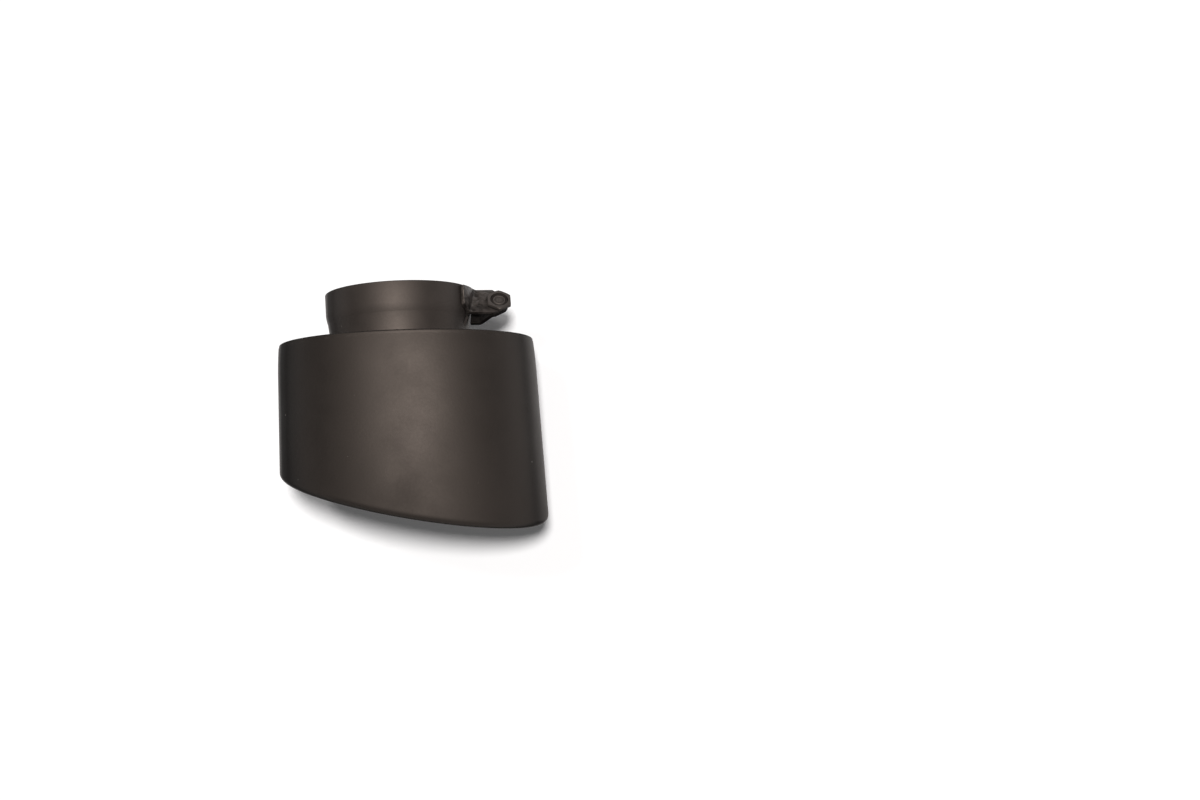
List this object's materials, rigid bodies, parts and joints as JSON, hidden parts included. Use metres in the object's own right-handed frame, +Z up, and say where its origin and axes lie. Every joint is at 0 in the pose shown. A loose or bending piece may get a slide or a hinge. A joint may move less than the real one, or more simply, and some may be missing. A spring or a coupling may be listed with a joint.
{
  "type": "exhaust tip",
  "caption": "Oval slash-cut exhaust tip in matte black steel, with a rolled-in lip, a flat end plate and a slit collar that a bolted lug clamp tightens on a tailpipe.",
  "frame": {"origin": "centre of the collar's mouth", "axes": "+Y out of the collar's mouth along the tailpipe, +Z up as the tip lies at rest, +X towards the side with the clamp; the outlet faces -Y"},
  "size_m": [0.149, 0.1395, 0.1076],
  "materials": {
    "body_coating": "matte black heat-resistant coating on sheet steel",
    "clamp_coating": "satin black coating on steel"
  },
  "bodies": {
    "root": {"outer_sleeve": "body_coating", "front_plate": "body_coating", "inlet_collar": "body_coating", "collar_weld": "body_coating", "upper_clamp_lug": "clamp_coating", "lower_clamp_lug": "clamp_coating", "clamp_bolt": "clamp_coating"}
  },
  "joints": []
}
